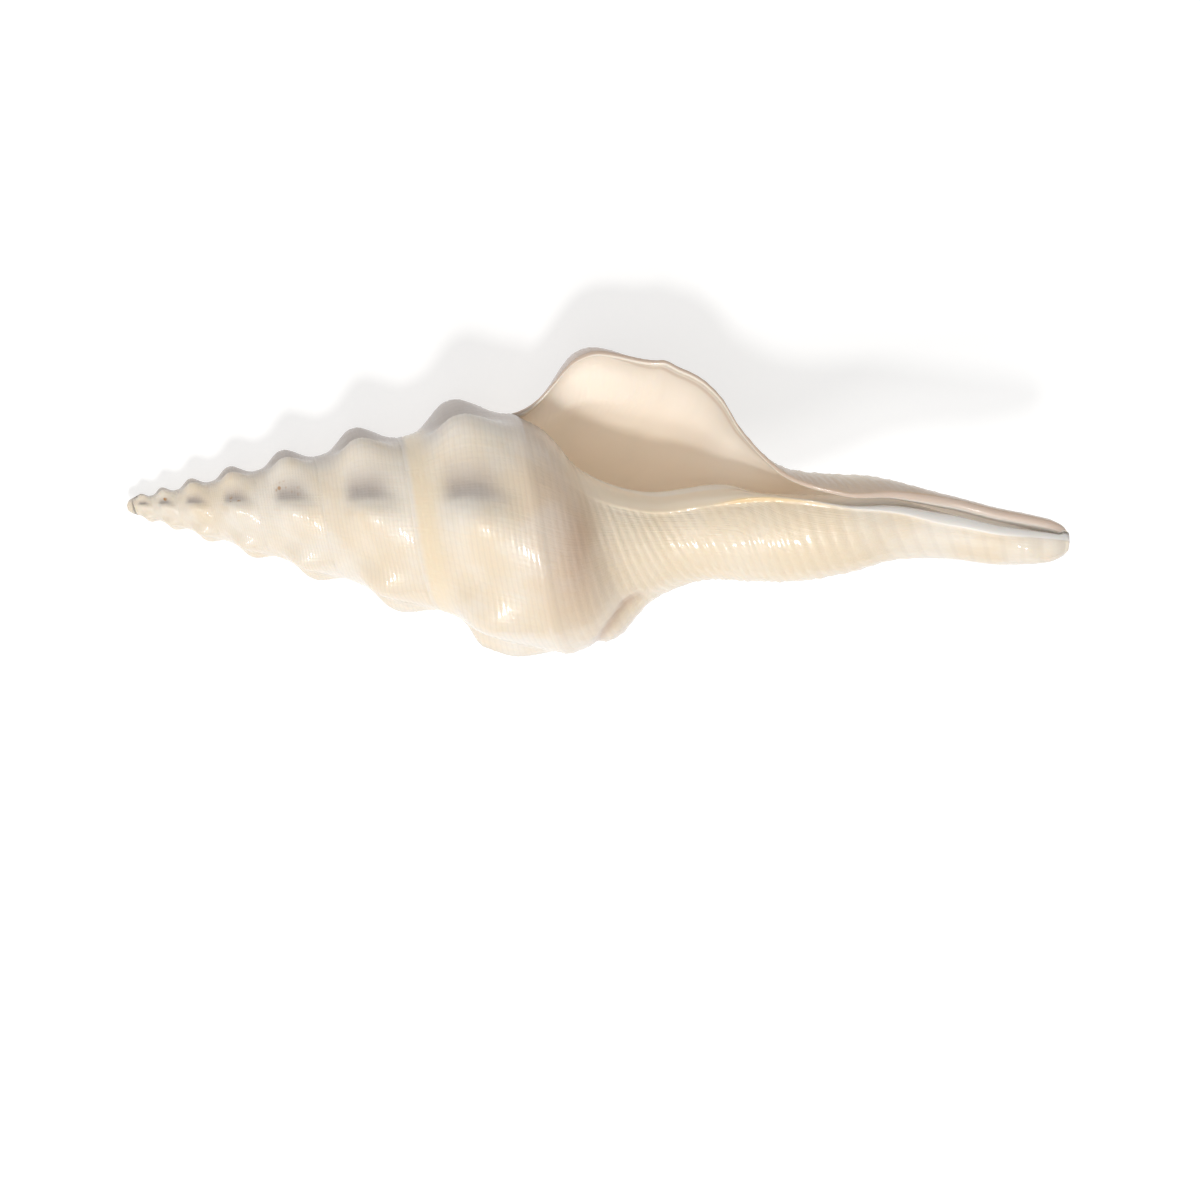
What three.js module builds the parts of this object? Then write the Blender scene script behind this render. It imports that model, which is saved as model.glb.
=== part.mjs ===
// A spindle-shaped sea shell grown as one piece: ribbed spire, body whorl, open aperture and long canal.
// Millimetres, +Z up. The shell is first grown along +X (apex at 0) and then laid on its back to rest.
import * as THREE from "three";

// ---- driving dimensions ----
const LENGTH = 135.2; // apex to canal tip, along the axis
const GROWTH = 1.36; // size ratio from one whorl to the next
const OFFSET = 6.6; // how far the ideal spiral's origin lies beyond the worn apex
const SUTURE = 60.5; // upper suture, in units of the whorl's scale
const TURNS = 7; // whorls modelled
const RIBS = 8; // axial ribs in one whorl
const RIB_PHASE = THREE.MathUtils.degToRad(49.5);
const RIB_SLANT = 0.45; // makes one flank of each rib steeper
const RIB_CROWD = 0.19; // how far the ribs stand off an even spacing, rad
const KNOB_BASE = 1.9; // bulge between ribs, in units of scale
const KNOB_RISE = 3.8; // extra bulge on a rib's crest
const RIB_LEAN = 0.5; // share by which the ribs of the underside are lower
const WALL = 1.3; // shell wall behind the lip
const CANAL_WALL = 1.4; // the canal's wall, as a share of the wall
const LIP_FLARE = 0.13; // share by which the lip spreads past the whorl's own radius
const CHAMBER_TURNS = 0.62; // how far back the open chamber is hollow
const TIP_RADIUS = 1.3;
const COLUMNS = 40; // facets round one turn
const WHORL_ROWS = 9;
const BASE_ROWS = 18;
const CHAMBER_COLUMNS = 16;
// resting attitude, found from the hull and the centre of mass
const REST_ROLL = THREE.MathUtils.degToRad(-16.15);
const REST_PITCH = THREE.MathUtils.degToRad(-17.08);

const smooth = (lo, hi, x) => THREE.MathUtils.smoothstep(x, lo, hi);

// A smooth curve through [x, y] knots, by cubic Hermite pieces with limited slopes.
function curve(knots) {
  const slope = knots.map((k, i) => {
    if (i === 0 || i === knots.length - 1) return 0;
    const before = (k[1] - knots[i - 1][1]) / (k[0] - knots[i - 1][0]);
    const after = (knots[i + 1][1] - k[1]) / (knots[i + 1][0] - k[0]);
    if (before * after <= 0) return 0;
    return (2 * before * after) / (before + after);
  });
  return (x) => {
    if (x <= knots[0][0]) return knots[0][1];
    const last = knots.length - 1;
    if (x >= knots[last][0]) return knots[last][1];
    let i = 0;
    while (x > knots[i + 1][0]) i += 1;
    const w = knots[i + 1][0] - knots[i][0];
    const t = (x - knots[i][0]) / w;
    const h1 = t * t * (3 - 2 * t);
    const rise = t * (1 - t) * (1 - t) * slope[i] - t * t * (1 - t) * slope[i + 1];
    return knots[i][1] * (1 - h1) + knots[i + 1][1] * h1 + w * rise;
  };
}

// Share of the whorl's radius left down the base, against the distance in units of scale.
const baseShare = curve([
  [82.28, 1],
  [85, 0.93],
  [88, 0.84],
  [91, 0.71],
  [94, 0.54],
  [97, 0.44],
  [101, 0.35],
  [107, 0.25],
  [118, 0.1],
]);
// Radius of the canal's tube along the axis.
const canalRadius = curve([
  [54, 5],
  [66, 5.3],
  [75, 5.5],
  [82, 6.4],
  [89, 7.4],
  [96, 7.7],
  [104, 7],
  [111, 5.5],
  [118, 4.5],
  [126, 3.9],
  [132, 3.2],
  [134.4, 2.2],
  [LENGTH, TIP_RADIUS],
]);
// Sideways bend of the axis: a slight bow in the spire, a swan's bend in the canal.
const axisBend = curve([
  [0, 0.45],
  [12, 0.6],
  [30, 0.7],
  [45, 0.5],
  [60, 0.1],
  [74, 0],
  [85, 0.5],
  [96, 1.2],
  [103, 2],
  [110, 2.8],
  [118, 2.2],
  [126, 1.1],
  [LENGTH, 0.8],
]);
// Angle of the lip's edge, in degrees, along the axis.
const lipAngle = curve([
  [54, 0],
  [66, 8],
  [82, 9],
  [87, 12],
  [90, 22],
  [94, 38],
  [100, 50],
  [104, 54],
  [111, 41],
  [119, 24],
  [LENGTH, 22],
]);
// Angle of the columella's crest, in degrees, along the axis.
const crestAngle = curve([
  [54, 50],
  [62, 63],
  [74, 68],
  [82, 62],
  [90, 59],
  [96, 64],
  [104, 75],
  [111, 82],
  [118, 89],
  [LENGTH, 86],
]);
// Radius of the groove's floor along the canal.
const grooveFloor = curve([
  [80, 6.4],
  [85, 6],
  [90, 5.2],
  [96, 4.8],
  [104, 4.2],
  [111, 3],
  [118, 1.9],
  [126, 1.35],
  [132, 0.9],
  [LENGTH, 0.9],
]);

const scaleAt = (n) => GROWTH ** n;
const sutureLine = (a) => 0.62 + 0.277 * a + 0.4 * Math.exp(-a / 2.5);

// Bulge of a whorl from its upper suture (u = 0) to its lower one (u = 1).
function bulge(n, u) {
  const lean = 1 - RIB_LEAN * (0.5 - 0.5 * Math.cos(2 * Math.PI * n)) ** 2;
  const crowd = RIB_CROWD * Math.sin(2 * Math.PI * n - 1.6);
  const turned = RIBS * (2 * Math.PI * n - RIB_PHASE - crowd);
  const wave = Math.cos(turned + RIB_SLANT * Math.cos(turned));
  const rib = lean * (1 - 0.3 * smooth(-0.05, 0, n)) * (0.5 + 0.5 * wave) ** 1.2;
  const steep = Math.exp(-(((n + 0.49) / 0.11) ** 2));
  const rise = smooth(0.12, 0.45 - 0.14 * steep, u) ** (1.35 - 0.35 * steep);
  const knob = rise * (1 - smooth(0.46, 1.08, u)) * 1.04;
  const swell = smooth(0.04 + 0.06 * steep, 0.6 - 0.26 * steep, u) ** 1.2;
  const plain = swell * (1 - smooth(0.5, 1.06, u)) * 1.1;
  return scaleAt(n) * (KNOB_BASE * plain + KNOB_RISE * rib * knob);
}

// Outer radius at turn n (0 at the lip) and distance a along the axis.
function outerRadius(n, a) {
  const v = (a + OFFSET) / scaleAt(n);
  const u = (v - SUTURE) / (SUTURE * (GROWTH - 1));
  const lipward = smooth(-0.09, 0.004, n) ** 1.5;
  const flare = 1 + LIP_FLARE * lipward * smooth(54, 64, a) * (1 - smooth(84, 95, a));
  const whorl = (sutureLine(a) * baseShare(v) + bulge(n, u)) * flare;
  if (u <= 1) return whorl;
  const tube = canalRadius(a);
  const end = smooth(118, 132, a);
  return (whorl ** 8 + tube ** 8) ** 0.125 * (1 - end) + tube * end;
}

// Radius of the columella side, which drops into the canal's groove next to the lip.
function bodyRadius(n, a) {
  const full = outerRadius(n, a);
  const span = THREE.MathUtils.degToRad(crestAngle(a) - lipAngle(a));
  const away = (2 * Math.PI * (n + 1)) / span;
  const depth = (1 - smooth(0.1, 1, away)) * smooth(80, 92, a) * (1 - smooth(LENGTH - 1.5, LENGTH, a));
  return full + (Math.min(full, grooveFloor(a)) - full) * depth;
}

function place(n, a, r) {
  const angle = 2 * Math.PI * n + THREE.MathUtils.degToRad(lipAngle(a));
  return new THREE.Vector3(a, r * Math.cos(angle) + axisBend(a), r * Math.sin(angle));
}

const points = [];
const faces = [];
const add = (p) => points.push(p) - 1;
const tri = (a, b, c) => {
  if (a !== b && b !== c && a !== c) faces.push([a, c, b]);
};
const quad = (a, b, c, d) => {
  tri(a, b, c);
  tri(a, c, d);
};

// ---- outer skin: one helical ribbon, each turn's lower edge being the next turn's upper edge ----
const total = TURNS * COLUMNS;
const turnOf = (j) => -TURNS + j / COLUMNS;
const whorlA = (n, i) => (SUTURE * (1 + ((GROWTH - 1) * i) / WHORL_ROWS)) * scaleAt(n) - OFFSET;
const whorlIds = [];
for (let j = 0; j <= total; j += 1) {
  whorlIds.push([]);
  for (let i = 0; i < WHORL_ROWS; i += 1) {
    const a = whorlA(turnOf(j), i);
    whorlIds[j].push(add(place(turnOf(j), a, outerRadius(turnOf(j), a))));
  }
}
const bodyStart = total - COLUMNS;
const baseA = (n, i) => {
  const a0 = whorlA(n, WHORL_ROWS);
  const t = i / BASE_ROWS;
  return a0 + (LENGTH - a0) * (0.75 * t + 0.25 * Math.sin((Math.PI * t) / 2) ** 2);
};
const baseIds = [];
for (let j = bodyStart; j <= total; j += 1) {
  const n = turnOf(j);
  const ids = [];
  for (let i = 0; i <= BASE_ROWS; i += 1) {
    const a = baseA(n, i);
    if (i === 0 && j === bodyStart) ids.push(whorlIds[total][0]);
    else if (i === BASE_ROWS && j === total) ids.push(baseIds[0][BASE_ROWS]);
    else ids.push(add(place(n, a, bodyRadius(n, a))));
  }
  baseIds.push(ids);
}
const column = (j) => {
  const ids = [...whorlIds[j]];
  if (j < bodyStart) ids.push(whorlIds[j + COLUMNS][0]);
  else ids.push(...baseIds[j - bodyStart]);
  return ids;
};
for (let j = 0; j < total; j += 1) {
  const left = column(j);
  const right = column(j + 1);
  const rows = j < bodyStart ? WHORL_ROWS : WHORL_ROWS + BASE_ROWS;
  for (let i = 0; i < rows; i += 1) quad(left[i], left[i + 1], right[i + 1], right[i]);
}

// ---- worn apex ----
const apex = add(new THREE.Vector3(0, axisBend(0), 0));
for (let j = 0; j < COLUMNS; j += 1) tri(apex, whorlIds[j][0], whorlIds[j + 1][0]);
const first = column(0);
for (let i = WHORL_ROWS; i > 0; i -= 1) tri(apex, first[i], first[i - 1]);

// ---- canal tip ----
const tip = add(new THREE.Vector3(LENGTH, axisBend(LENGTH), 0));
for (let j = 0; j < COLUMNS; j += 1) tri(tip, baseIds[j + 1][BASE_ROWS], baseIds[j][BASE_ROWS]);

// ---- open chamber behind the lip ----
const chamberEnd = curve([
  [-CHAMBER_TURNS, 68],
  [-0.4, 78],
  [-0.3, 84],
  [-0.24, 94],
  [-0.19, 108],
  [-0.12, 124],
  [-0.05, 132],
  [0, LENGTH],
]);
function roofRadius(n, a) {
  const floor = bodyRadius(n - 1, a);
  const canal = smooth(100, 116, a);
  const wall = WALL * ((0.6 + 0.4 * smooth(0, 0.08, -n)) * (1 - canal) + CANAL_WALL * canal);
  const height = outerRadius(n, a) - wall - floor;
  return floor + 0.5 * (height + Math.sqrt(height * height + 0.1));
}
const roofRows = WHORL_ROWS + BASE_ROWS;
const lipColumn = column(total);
const roof = [];
const floorIds = [];
for (let k = 0; k <= CHAMBER_COLUMNS; k += 1) {
  const n = (-CHAMBER_TURNS * k) / CHAMBER_COLUMNS;
  const a0 = (SUTURE * GROWTH + 2.4 * smooth(0, 0.06, -n)) * scaleAt(n - 1) - OFFSET;
  const a1 = chamberEnd(n);
  const startId = k === 0 ? lipColumn[0] : add(place(n, a0, bodyRadius(n - 1, a0)));
  const endId = k === 0 ? lipColumn[roofRows] : add(place(n, a1, bodyRadius(n - 1, a1)));
  const r = [startId];
  for (let i = 1; i < roofRows; i += 1) {
    const share = (points[lipColumn[i]].x - whorlA(0, 0)) / (LENGTH - whorlA(0, 0));
    const a = a0 + (a1 - a0) * share;
    const closing = Math.min(1, share / 0.04, (1 - share) / (k === 0 ? 0.015 : 0.12));
    const floor = bodyRadius(n - 1, a);
    r.push(add(place(n, a, floor + (roofRadius(n, a) - floor) * Math.sqrt(closing))));
  }
  r.push(endId);
  roof.push(r);
  if (k === 0) floorIds.push(baseIds[0]);
  else {
    const f = [startId];
    for (let i = 1; i < BASE_ROWS; i += 1) {
      const share = (points[baseIds[0][i]].x - whorlA(0, 0)) / (LENGTH - whorlA(0, 0));
      const a = a0 + (a1 - a0) * share;
      f.push(add(place(n, a, bodyRadius(n - 1, a))));
    }
    f.push(endId);
    floorIds.push(f);
  }
}
for (let i = 0; i < roofRows; i += 1) quad(lipColumn[i], lipColumn[i + 1], roof[0][i + 1], roof[0][i]);
for (let k = 0; k < CHAMBER_COLUMNS; k += 1) {
  for (let i = 0; i < roofRows; i += 1) {
    quad(roof[k][i], roof[k][i + 1], roof[k + 1][i + 1], roof[k + 1][i]);
  }
  for (let i = 0; i < BASE_ROWS; i += 1) {
    quad(floorIds[k + 1][i], floorIds[k + 1][i + 1], floorIds[k][i + 1], floorIds[k][i]);
  }
}
// The chamber's blind end, zipped between the roof's and the floor's rows.
const lastRoof = roof[CHAMBER_COLUMNS];
const lastFloor = floorIds[CHAMBER_COLUMNS];
let i = 0;
let k = 0;
while (i < roofRows || k < BASE_ROWS) {
  const nextRoof = i < roofRows ? points[lastRoof[i + 1]].x : Infinity;
  const nextFloor = k < BASE_ROWS ? points[lastFloor[k + 1]].x : Infinity;
  if (nextRoof <= nextFloor) {
    tri(lastRoof[i], lastRoof[i + 1], lastFloor[k]);
    i += 1;
  } else {
    tri(lastRoof[i], lastFloor[k + 1], lastFloor[k]);
    k += 1;
  }
}

// ---- lay the shell down and set it on z = 0 ----
const attitude = new THREE.Matrix4().makeRotationY(REST_PITCH);
attitude.multiply(new THREE.Matrix4().makeRotationX(REST_ROLL));
points.forEach((p) => p.applyMatrix4(attitude));
const box = new THREE.Box3().setFromPoints(points);
const middle = box.getCenter(new THREE.Vector3());
points.forEach((p) => p.sub(new THREE.Vector3(middle.x, middle.y, box.min.z)));

const geometry = new THREE.BufferGeometry();
const coordinates = points.flatMap((p) => [p.x, p.y, p.z]);
geometry.setAttribute("position", new THREE.Float32BufferAttribute(coordinates, 3));
geometry.setIndex(faces.flat());
geometry.computeVertexNormals();
const porcelain = new THREE.MeshStandardMaterial({ color: 0xeadfcb, roughness: 0.28, metalness: 0 });
const shell = new THREE.Mesh(geometry, porcelain);
shell.name = "shell";

const group = new THREE.Group();
group.add(shell);
export default group;
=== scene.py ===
"""A spindle-shaped sea shell on a pale table: ribbed spire, open aperture and long canal.

The shell is one coil, so one Geometry Nodes tree winds it up from its law of growth.
"""

import math

import bpy
import numpy as np
from mathutils import Euler, Matrix, Vector


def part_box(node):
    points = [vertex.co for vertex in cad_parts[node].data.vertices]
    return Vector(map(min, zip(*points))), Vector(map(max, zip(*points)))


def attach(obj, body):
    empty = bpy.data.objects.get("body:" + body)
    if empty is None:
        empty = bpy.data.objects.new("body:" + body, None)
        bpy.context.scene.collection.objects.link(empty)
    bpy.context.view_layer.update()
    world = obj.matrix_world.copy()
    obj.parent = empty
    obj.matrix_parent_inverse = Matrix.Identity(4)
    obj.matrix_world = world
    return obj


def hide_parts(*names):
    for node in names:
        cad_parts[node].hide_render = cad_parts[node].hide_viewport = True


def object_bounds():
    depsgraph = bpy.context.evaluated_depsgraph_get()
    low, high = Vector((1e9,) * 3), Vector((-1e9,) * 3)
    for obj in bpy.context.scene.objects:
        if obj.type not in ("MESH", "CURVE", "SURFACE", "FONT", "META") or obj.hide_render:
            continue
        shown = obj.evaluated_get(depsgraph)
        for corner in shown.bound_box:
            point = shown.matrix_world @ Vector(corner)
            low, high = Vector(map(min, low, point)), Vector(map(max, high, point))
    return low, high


bl_info = {
    "name": "Spindle shell",
    "version": (1, 0, 0),
    "blender": (4, 5, 0),
    "location": "3D View > Sidebar > Shell",
    "description": "Grows a ribbed spindle shell and lays it on a pale table",
    "category": "Add Mesh",
}

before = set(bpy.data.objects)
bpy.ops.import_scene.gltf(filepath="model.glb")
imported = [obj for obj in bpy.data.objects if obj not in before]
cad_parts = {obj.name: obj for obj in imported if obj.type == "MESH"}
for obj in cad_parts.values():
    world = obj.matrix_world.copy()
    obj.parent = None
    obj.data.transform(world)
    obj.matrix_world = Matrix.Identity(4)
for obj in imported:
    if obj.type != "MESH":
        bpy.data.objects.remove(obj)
CAD_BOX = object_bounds()
MM = 0.001
TAU = 2 * math.pi


# ---------------------------------------------------------------- sizes and finishes

class ShellSizes(bpy.types.PropertyGroup):
    growth: bpy.props.FloatProperty(
        name="Growth", description="Size ratio from one whorl to the next", default=1.36
    )
    offset: bpy.props.FloatProperty(
        name="Worn apex", description="Part of the ideal spiral that is worn off, mm", default=6.6
    )
    suture: bpy.props.FloatProperty(
        name="Suture", description="Upper suture in units of the whorl's scale", default=60.5
    )
    turns: bpy.props.IntProperty(name="Turns", description="Whorls modelled", default=7)
    ribs: bpy.props.IntProperty(name="Ribs", description="Axial ribs in one whorl", default=8)
    rib_phase: bpy.props.FloatProperty(
        name="Rib phase", description="Where the first rib stands", default=math.radians(49.5),
        subtype="ANGLE"
    )
    knob_base: bpy.props.FloatProperty(
        name="Bulge", description="Bulge between ribs, in units of scale", default=1.9
    )
    knob_rise: bpy.props.FloatProperty(
        name="Rib rise", description="Extra bulge on a rib's crest, in units of scale", default=3.8
    )
    rib_slant: bpy.props.FloatProperty(
        name="Rib slant", description="Makes one flank of each rib steeper", default=0.45
    )
    rib_crowd: bpy.props.FloatProperty(
        name="Rib crowding", description="How far the ribs stand off an even spacing, rad", default=0.19
    )
    scoop: bpy.props.FloatProperty(
        name="Scoop", description="Extra depth of the hollows on the aperture's side", default=0.32
    )
    wall: bpy.props.FloatProperty(name="Wall", description="Shell wall behind the lip, mm", default=1.3)
    lip_flare: bpy.props.FloatProperty(
        name="Lip flare", description="Share by which the lip spreads", default=0.13
    )
    chamber: bpy.props.FloatProperty(
        name="Chamber", description="Turns of open chamber behind the lip", default=0.62
    )
    cords: bpy.props.IntProperty(name="Cords", description="Spiral threads on one whorl", default=22)
    cord_height: bpy.props.FloatProperty(
        name="Cord height", description="Height of a spiral thread, mm", default=0.055
    )
    rib_lean: bpy.props.FloatProperty(
        name="Rib lean", description="Share by which the ribs of the underside are lower", default=0.5
    )
    pebble: bpy.props.FloatProperty(
        name="Pebbling", description="Unevenness of the threads, mm", default=0.045
    )
    seed: bpy.props.IntProperty(name="Seed", description="Seed of the growth irregularities", default=4)


class ShellFinish(bpy.types.PropertyGroup):
    cream: bpy.props.FloatVectorProperty(
        name="Cream", description="Outer skin", subtype="COLOR", default=(0.84, 0.72, 0.56)
    )
    ivory: bpy.props.FloatVectorProperty(
        name="Ivory", description="Polished crests", subtype="COLOR", default=(0.86, 0.79, 0.69)
    )
    butter: bpy.props.FloatVectorProperty(
        name="Butter", description="Band below the suture", subtype="COLOR", default=(0.87, 0.73, 0.53)
    )
    # Grey of the painted shade in the rib hollows, on the whorls' upper side and between the threads
    painted_shade_grey: bpy.props.FloatVectorProperty(
        name="Stone", description="Hollows between ribs", subtype="COLOR", default=(0.42, 0.36, 0.33)
    )
    # Russet tint of the lip's back, the lip's rim and the base fold, also used as painted shade in the
    # waist and along the fold's crease
    russet_and_shade: bpy.props.FloatVectorProperty(
        name="Russet", description="Back of the lip and base folds", subtype="COLOR",
        default=(0.46, 0.29, 0.19)
    )
    honey: bpy.props.FloatVectorProperty(
        name="Honey", description="Free edge of the glaze", subtype="COLOR", default=(0.80, 0.58, 0.30)
    )
    porcelain: bpy.props.FloatVectorProperty(
        name="Porcelain", description="Flared lip inside", subtype="COLOR", default=(0.86, 0.80, 0.72)
    )
    fawn: bpy.props.FloatVectorProperty(
        name="Fawn", description="Deep in the chamber", subtype="COLOR", default=(0.82, 0.72, 0.58)
    )
    pearl: bpy.props.FloatVectorProperty(
        name="Pearl", description="Glaze along the canal", subtype="COLOR", default=(0.96, 0.92, 0.87)
    )
    # Emission colour of the painted glow inside the chamber
    glow: bpy.props.FloatVectorProperty(
        name="Glow", description="Light that the thin wall lets through", subtype="COLOR",
        default=(1.0, 0.86, 0.72)
    )
    biscuit: bpy.props.FloatVectorProperty(
        name="Biscuit", description="Glaze beside the aperture", subtype="COLOR",
        default=(0.88, 0.75, 0.58)
    )
    amber: bpy.props.FloatVectorProperty(
        name="Amber", description="Specks between the early ribs", subtype="COLOR",
        default=(0.42, 0.19, 0.03)
    )


class StageSettings(bpy.types.PropertyGroup):
    floor: bpy.props.FloatVectorProperty(
        name="Table", description="Colour of the table", subtype="COLOR", default=(0.45, 0.45, 0.45)
    )
    lens: bpy.props.FloatProperty(name="Lens", description="Focal length, mm", default=100.0)
    view_width: bpy.props.FloatProperty(
        name="View width", description="Width of the view at the shell", default=0.1725, unit="LENGTH"
    )
    key_power: bpy.props.FloatProperty(
        name="Key light", description="Power of the key light, W", default=2.4
    )
    glint_power: bpy.props.FloatProperty(
        name="Glint light", description="Power of the small light that makes the glints, W", default=3.2
    )
    soft_power: bpy.props.FloatProperty(
        name="Front light", description="Power of the broad front light, W", default=3.7
    )
    fill: bpy.props.FloatProperty(
        name="Fill", description="Strength of the surrounding light", default=0.22
    )


# ---------------------------------------------------------------- the shell's law of growth

def smooth(lo, hi, x):
    t = np.clip((np.asarray(x, float) - lo) / (hi - lo), 0.0, 1.0)
    return t * t * (3 - 2 * t)


def curve(*knots):
    """A smooth curve through (x, y) knots with limited slopes."""
    kx = np.array([k[0] for k in knots], float)
    ky = np.array([k[1] for k in knots], float)
    d = np.diff(ky) / np.diff(kx)
    slope = np.zeros(len(kx))
    for i in range(1, len(kx) - 1):
        if d[i - 1] * d[i] > 0:
            slope[i] = 2 * d[i - 1] * d[i] / (d[i - 1] + d[i])

    def at(x):
        x = np.clip(np.asarray(x, float), kx[0], kx[-1])
        i = np.clip(np.searchsorted(kx, x, side="right") - 1, 0, len(kx) - 2)
        w = kx[i + 1] - kx[i]
        t = (x - kx[i]) / w
        h = t * t * (3 - 2 * t)
        rise = t * (1 - t) ** 2 * slope[i] - t * t * (1 - t) * slope[i + 1]
        return ky[i] * (1 - h) + ky[i + 1] * h + w * rise

    return at


LENGTH = 135.2
base_share = curve(
    (82.28, 1), (85, 0.93), (88, 0.84), (91, 0.71), (94, 0.54), (97, 0.44), (101, 0.35), (107, 0.25),
    (118, 0.1)
)
canal_radius = curve(
    (54, 5), (66, 5.3), (75, 5.5), (82, 6.4), (89, 7.4), (96, 7.7), (104, 7), (111, 5.5), (118, 4.5),
    (126, 3.9), (132, 3.2), (134.4, 2.2), (LENGTH, 1.3)
)
axis_bend = curve(
    (0, 0.45), (12, 0.6), (30, 0.7), (45, 0.5), (60, 0.1), (74, 0), (85, 0.5), (96, 1.2), (103, 2),
    (110, 2.8), (118, 2.2), (126, 1.1), (LENGTH, 0.8)
)
lip_angle = curve(
    (54, 0), (66, 8), (82, 9), (87, 12), (90, 22), (94, 38), (100, 50), (104, 54), (111, 41), (119, 24),
    (LENGTH, 22)
)
crest_angle = curve(
    (54, 50), (62, 63), (74, 68), (82, 62), (90, 59), (96, 64), (104, 75), (111, 82), (118, 89),
    (LENGTH, 86)
)
groove_floor = curve(
    (80, 6.4), (85, 6), (90, 5.2), (96, 4.8), (104, 4.2), (111, 3), (118, 1.9), (126, 1.35), (132, 0.9),
    (LENGTH, 0.9)
)


class Growth:
    """The shell's measures as functions of the turn n (0 at the lip) and the distance a along the axis."""

    def __init__(self, p):
        self.p = p

    def scale(self, n):
        return self.p.growth ** np.asarray(n, float)

    def suture_line(self, a):
        return 0.62 + 0.277 * a + 0.4 * np.exp(-np.asarray(a) / 2.5)

    def v(self, n, a):
        return (a + self.p.offset) / self.scale(n)

    def across(self, n, a):
        return (self.v(n, a) - self.p.suture) / (self.p.suture * (self.p.growth - 1))

    def flare(self, n, a):
        lipward = smooth(-0.09, 0.004, n) ** 1.5
        return 1 + self.p.lip_flare * lipward * smooth(54, 64, a) * (1 - smooth(84, 95, a))

    def steep(self, n):
        """1 where the body whorl's underside rises most abruptly from the suture, 0 elsewhere."""
        return np.exp(-((np.asarray(n, float) + 0.49) / 0.11) ** 2)

    def rib_room(self, n, a):
        """How far a rib's crest may rise here, mm."""
        u = self.across(n, a)
        steep = self.steep(n)
        knob = smooth(
            0.12, 0.45 - 0.14 * steep, u
        ) ** (1.35 - 0.35 * steep) * (1 - smooth(0.46, 1.08, u))
        knob = knob * 1.04 * (1 - 0.3 * smooth(-0.05, 0, n))
        return self.scale(n) * self.p.knob_rise * knob * self.flare(n, a)

    def skin(self, n, a):
        """Outer radius without ribs."""
        n, a = np.broadcast_arrays(np.asarray(n, float), np.asarray(a, float))
        u = self.across(n, a)
        steep = self.steep(n)
        swell = smooth(0.04 + 0.06 * steep, 0.6 - 0.26 * steep, u) ** 1.2
        plain = swell * (1 - smooth(0.5, 1.06, u)) * 1.1
        cone = self.suture_line(a) * base_share(self.v(n, a))
        whorl = (cone + self.scale(n) * self.p.knob_base * plain) * self.flare(n, a)
        tube = canal_radius(a)
        end = smooth(118, 132, a)
        both = (whorl ** 8 + tube ** 8) ** 0.125 * (1 - end) + tube * end
        return np.where(u <= 1, whorl, both)

    def away(self, n, a):
        """0 at the lip's edge, 1 on the columella's crest."""
        return (np.asarray(n) + 1) * 360 / (crest_angle(a) - lip_angle(a))

    def body(self, n, a):
        """Radius of the columella side, which drops into the groove next to the lip."""
        full = self.skin(n, a)
        lipward = 1 - smooth(0.1, 1, self.away(n, a))
        depth = lipward * smooth(80, 92, a) * (1 - smooth(LENGTH - 1.5, LENGTH, a))
        return full + (np.minimum(full, groove_floor(a)) - full) * depth


class Net:
    """Points and faces of the shell's skin, each point given by its place on the coil."""

    FIELDS = ("turn", "along", "radius", "rib_room", "cord", "cord_room", "inside", "glaze", "ledge")

    def __init__(self):
        self.rows = []
        self.faces = []
        self.count = 0

    def add(self, **fields):
        """Adds points from equal-length arrays and returns their indices."""
        n = len(fields["turn"])
        block = np.zeros((n, len(self.FIELDS)))
        for k, name in enumerate(self.FIELDS):
            block[:, k] = fields.get(name, 0.0)
        self.rows.append(block)
        ids = np.arange(self.count, self.count + n)
        self.count += n
        return ids

    def face(self, *ids):
        keep = [ids[0]]
        for i in ids[1:]:
            if i != keep[-1]:
                keep.append(i)
        if keep[0] == keep[-1]:
            keep.pop()
        if len(keep) > 2:
            self.faces.append(tuple(int(i) for i in reversed(keep)))

    def strip(self, left, right):
        for i in range(len(left) - 1):
            self.face(left[i], left[i + 1], right[i + 1], right[i])

    def table(self):
        return np.concatenate(self.rows)


COLUMNS = 80
CREST_COLUMN = 14
CORD_ROWS = 4
BASE_CORDS = 46
CHAMBER_COLUMNS = 22


def gathered(share_of_turn, j):
    """Column j's share of a turn when column CREST_COLUMN stands on the crest."""
    s = share_of_turn
    tight = 0.0025
    knots_j = [
        0, CREST_COLUMN - 2, CREST_COLUMN - 1, CREST_COLUMN, CREST_COLUMN + 1, CREST_COLUMN + 2, COLUMNS
    ]
    out = np.empty_like(s)
    for k in range(len(s)):
        knots_s = [0, s[k] - 2.6 * tight, s[k] - tight, s[k], s[k] + tight, s[k] + 2.6 * tight, 1]
        out[k] = np.interp(j, knots_j, knots_s)
    return out


FOLD_ALONG = 72.3
FOLD_TURN = -0.51
FOLD_HALF_LENGTH = 4.2
FOLD_HALF_ANGLE = 24


def fold_lobe(n, a):
    """Distance from the fold at the foot of the body whorl, 1 on its rim."""
    along = (a - FOLD_ALONG) / FOLD_HALF_LENGTH
    return np.sqrt(along ** 2 + ((n - FOLD_TURN) * 360 / FOLD_HALF_ANGLE) ** 2)


def fold_side(n, a):
    """Keeps the fold's crease to its side towards the spire, so that it runs out into the neck."""
    along = (a - FOLD_ALONG) / FOLD_HALF_LENGTH
    return (1 - smooth(-0.2, 0.9, along)) * (1 - smooth(-0.5, -0.44, n))


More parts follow.
